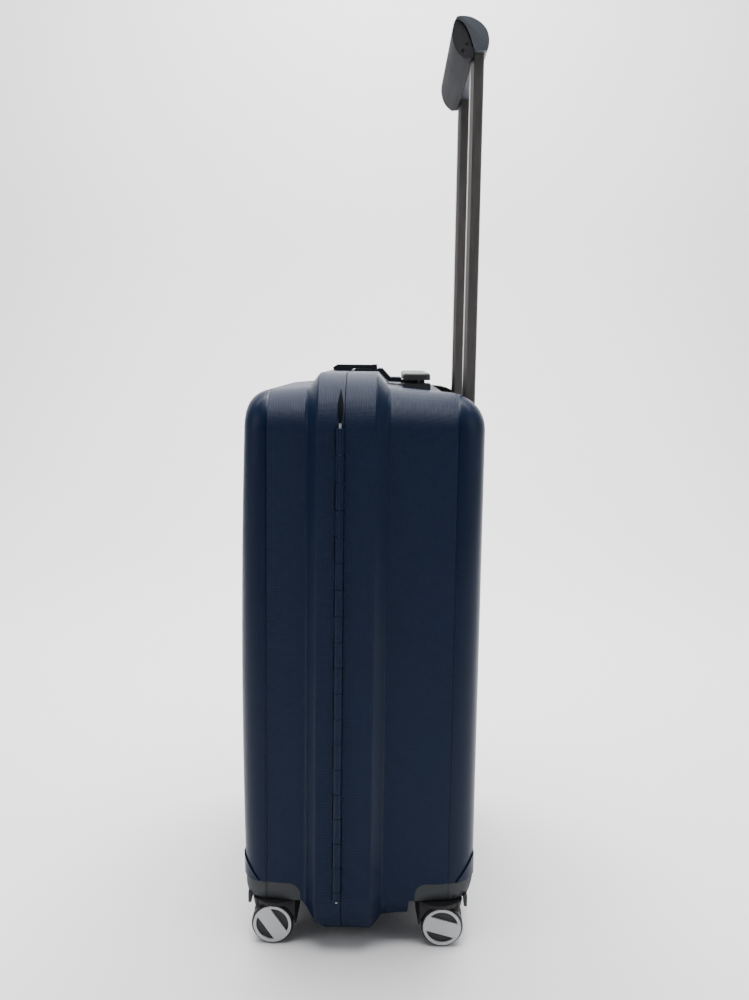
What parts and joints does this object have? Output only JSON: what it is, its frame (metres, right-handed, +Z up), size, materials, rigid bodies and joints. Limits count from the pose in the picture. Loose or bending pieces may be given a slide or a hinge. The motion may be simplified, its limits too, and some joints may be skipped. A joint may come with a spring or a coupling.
{
  "type": "hard shell suitcase",
  "caption": "Upright hard shell suitcase with a moulded side hinge, telescopic pull handle, carry handles, latches and swivelling twin-wheel casters.",
  "frame": {"origin": "on the floor, under the centre of the bounding box", "axes": "+Z up; +Y from the opening front shell to the shell that carries the pull handle; +X to the hinge side"},
  "size_m": [0.481, 0.28, 1.0845],
  "materials": {
    "navy_shell": "moulded polypropylene with a fine embossed weave between smooth bands",
    "grey_shoe": "fine-grained dark grey moulding",
    "black_plastic": "matt black nylon",
    "grip_grey": "satin blue-grey moulding",
    "handle_grey": "satin dark grey moulding",
    "gunmetal_tube": "gunmetal anodised, drawn grain along the tube",
    "bright_steel": "drawn steel",
    "guide_metal": "plain drawn aluminium",
    "cap_silver": "satin silver paint",
    "wheel_black": "soft black polyurethane",
    "seal_black": "matt extruded rubber",
    "lining_grey": "thin woven polyester lining",
    "strap_grey": "woven elastic webbing",
    "latch_dark": "satin dark moulding"
  },
  "bodies": {
    "rear_case": {"rear_shell": "navy_shell", "hinge_pin": "bright_steel", "rim_seal": "seal_black", "rear_kingpins": "bright_steel", "caster_housing_rear_hinge_side": "grey_shoe", "caster_housing_rear_latch_side": "grey_shoe", "guide_tubes": "guide_metal", "trolley_base": "black_plastic", "trolley_bezel": "black_plastic", "bezel_screws": "bright_steel", "top_handle_base": "handle_grey", "side_handle_base": "handle_grey", "top_lock_body": "latch_dark", "side_latch_bases": "latch_dark", "rear_lining": "lining_grey", "rear_packing_straps": "strap_grey"},
    "front_case": {"front_shell": "navy_shell", "front_kingpins": "bright_steel", "caster_housing_front_hinge_side": "grey_shoe", "caster_housing_front_latch_side": "grey_shoe", "front_lining": "lining_grey", "front_packing_straps": "strap_grey", "strap_buckle": "black_plastic"},
    "trolley": {"sliding_tubes": "gunmetal_tube", "grip_body": "grip_grey", "button_spring": "bright_steel"},
    "release_button": {"grip_button": "handle_grey", "push_rods": "bright_steel"},
    "hinge_side_lock_pin": {"lock_pin_hinge_side": "bright_steel"},
    "latch_side_lock_pin": {"lock_pin_latch_side": "bright_steel"},
    "top_handle": {"top_handle_grip": "handle_grey"},
    "side_handle": {"side_handle_grip": "handle_grey"},
    "top_lever": {"top_lock_lever": "latch_dark"},
    "key_cylinder": {"lock_cylinder": "bright_steel"},
    "upper_lever": {"upper_latch_lever": "latch_dark"},
    "lower_lever": {"lower_latch_lever": "latch_dark"},
    "caster_front_hinge_side": {"caster_fork_front_hinge_side": "black_plastic", "caster_axle_front_hinge_side": "bright_steel"},
    "wheel_front_hinge_side_outer": {"wheel_front_hinge_side_outer": "wheel_black", "hub_cap_front_hinge_side_outer": "cap_silver"},
    "wheel_front_hinge_side_inner": {"wheel_front_hinge_side_inner": "wheel_black", "hub_cap_front_hinge_side_inner": "cap_silver"},
    "caster_front_latch_side": {"caster_fork_front_latch_side": "black_plastic", "caster_axle_front_latch_side": "bright_steel"},
    "wheel_front_latch_side_outer": {"wheel_front_latch_side_outer": "wheel_black", "hub_cap_front_latch_side_outer": "cap_silver"},
    "wheel_front_latch_side_inner": {"wheel_front_latch_side_inner": "wheel_black", "hub_cap_front_latch_side_inner": "cap_silver"},
    "caster_rear_hinge_side": {"caster_fork_rear_hinge_side": "black_plastic", "caster_axle_rear_hinge_side": "bright_steel"},
    "wheel_rear_hinge_side_outer": {"wheel_rear_hinge_side_outer": "wheel_black", "hub_cap_rear_hinge_side_outer": "cap_silver"},
    "wheel_rear_hinge_side_inner": {"wheel_rear_hinge_side_inner": "wheel_black", "hub_cap_rear_hinge_side_inner": "cap_silver"},
    "caster_rear_latch_side": {"caster_fork_rear_latch_side": "black_plastic", "caster_axle_rear_latch_side": "bright_steel"},
    "wheel_rear_latch_side_outer": {"wheel_rear_latch_side_outer": "wheel_black", "hub_cap_rear_latch_side_outer": "cap_silver"},
    "wheel_rear_latch_side_inner": {"wheel_rear_latch_side_inner": "wheel_black", "hub_cap_rear_latch_side_inner": "cap_silver"}
  },
  "joints": [
    {"name": "lid_hinge", "type": "hinge", "parent": "rear_case", "child": "front_case", "pos_m": [0.2355, -0.024, 0.35], "axis": [0, 0, 1], "range_deg": [0, 180]},
    {"name": "trolley_slide", "type": "slide", "parent": "rear_case", "child": "trolley", "axis": [0, 0, 1], "range_m": [-0.418, 0]},
    {"name": "button_press", "type": "slide", "parent": "trolley", "child": "release_button", "axis": [0, 0, -1], "range_m": [0, 0.004], "stiffness_N_per_m": 1500, "springref_m": -0.004, "deforming": ["button_spring"]},
    {"name": "hinge_side_pin_slide", "type": "slide", "parent": "trolley", "child": "hinge_side_lock_pin", "axis": [-1, 0, 0], "range_m": [0, 0.0025]},
    {"name": "latch_side_pin_slide", "type": "slide", "parent": "trolley", "child": "latch_side_lock_pin", "axis": [1, 0, 0], "range_m": [0, 0.0025]},
    {"name": "top_handle_lift", "type": "slide", "parent": "rear_case", "child": "top_handle", "axis": [0, 0, 1], "range_m": [0, 0.015], "stiffness_N_per_m": 150, "springref_m": -0.004},
    {"name": "side_handle_lift", "type": "slide", "parent": "rear_case", "child": "side_handle", "axis": [-1, 0, 0], "range_m": [0, 0.015], "stiffness_N_per_m": 150, "springref_m": -0.008},
    {"name": "top_lever_lift", "type": "hinge", "parent": "rear_case", "child": "top_lever", "pos_m": [0, 0.0094, 0.6856], "axis": [-1, 0, 0], "range_deg": [0, 70]},
    {"name": "key_turn", "type": "hinge", "parent": "rear_case", "child": "key_cylinder", "pos_m": [0.018, 0.038, 0.67], "axis": [0, 0, 1], "range_deg": [0, 90]},
    {"name": "upper_lever_swing", "type": "hinge", "parent": "rear_case", "child": "upper_lever", "pos_m": [-0.239, 0.0092, 0.505], "axis": [0, 0, -1], "range_deg": [0, 80]},
    {"name": "lower_lever_swing", "type": "hinge", "parent": "rear_case", "child": "lower_lever", "pos_m": [-0.239, 0.0092, 0.175], "axis": [0, 0, -1], "range_deg": [0, 80]},
    {"name": "swivel_front_hinge_side", "type": "hinge", "parent": "front_case", "child": "caster_front_hinge_side", "pos_m": [0.195, -0.0975, 0.055], "axis": [0, 0, 1], "continuous": true},
    {"name": "roll_front_hinge_side_outer", "type": "hinge", "parent": "caster_front_hinge_side", "child": "wheel_front_hinge_side_outer", "pos_m": [0.195, -0.1015, 0.025], "axis": [1, 0, 0], "continuous": true},
    {"name": "roll_front_hinge_side_inner", "type": "hinge", "parent": "caster_front_hinge_side", "child": "wheel_front_hinge_side_inner", "pos_m": [0.195, -0.1015, 0.025], "axis": [1, 0, 0], "continuous": true},
    {"name": "swivel_front_latch_side", "type": "hinge", "parent": "front_case", "child": "caster_front_latch_side", "pos_m": [-0.195, -0.0975, 0.055], "axis": [0, 0, 1], "continuous": true},
    {"name": "roll_front_latch_side_outer", "type": "hinge", "parent": "caster_front_latch_side", "child": "wheel_front_latch_side_outer", "pos_m": [-0.195, -0.1015, 0.025], "axis": [1, 0, 0], "continuous": true},
    {"name": "roll_front_latch_side_inner", "type": "hinge", "parent": "caster_front_latch_side", "child": "wheel_front_latch_side_inner", "pos_m": [-0.195, -0.1015, 0.025], "axis": [1, 0, 0], "continuous": true},
    {"name": "swivel_rear_hinge_side", "type": "hinge", "parent": "rear_case", "child": "caster_rear_hinge_side", "pos_m": [0.195, 0.0975, 0.055], "axis": [0, 0, 1], "continuous": true},
    {"name": "roll_rear_hinge_side_outer", "type": "hinge", "parent": "caster_rear_hinge_side", "child": "wheel_rear_hinge_side_outer", "pos_m": [0.195, 0.1015, 0.025], "axis": [1, 0, 0], "continuous": true},
    {"name": "roll_rear_hinge_side_inner", "type": "hinge", "parent": "caster_rear_hinge_side", "child": "wheel_rear_hinge_side_inner", "pos_m": [0.195, 0.1015, 0.025], "axis": [1, 0, 0], "continuous": true},
    {"name": "swivel_rear_latch_side", "type": "hinge", "parent": "rear_case", "child": "caster_rear_latch_side", "pos_m": [-0.195, 0.0975, 0.055], "axis": [0, 0, 1], "continuous": true},
    {"name": "roll_rear_latch_side_outer", "type": "hinge", "parent": "caster_rear_latch_side", "child": "wheel_rear_latch_side_outer", "pos_m": [-0.195, 0.1015, 0.025], "axis": [1, 0, 0], "continuous": true},
    {"name": "roll_rear_latch_side_inner", "type": "hinge", "parent": "caster_rear_latch_side", "child": "wheel_rear_latch_side_inner", "pos_m": [-0.195, 0.1015, 0.025], "axis": [1, 0, 0], "continuous": true}
  ],
  "couplings": [
    {"joint": "hinge_side_pin_slide", "follows": "button_press", "ratio": 0.625},
    {"joint": "latch_side_pin_slide", "follows": "button_press", "ratio": 0.625}
  ]
}
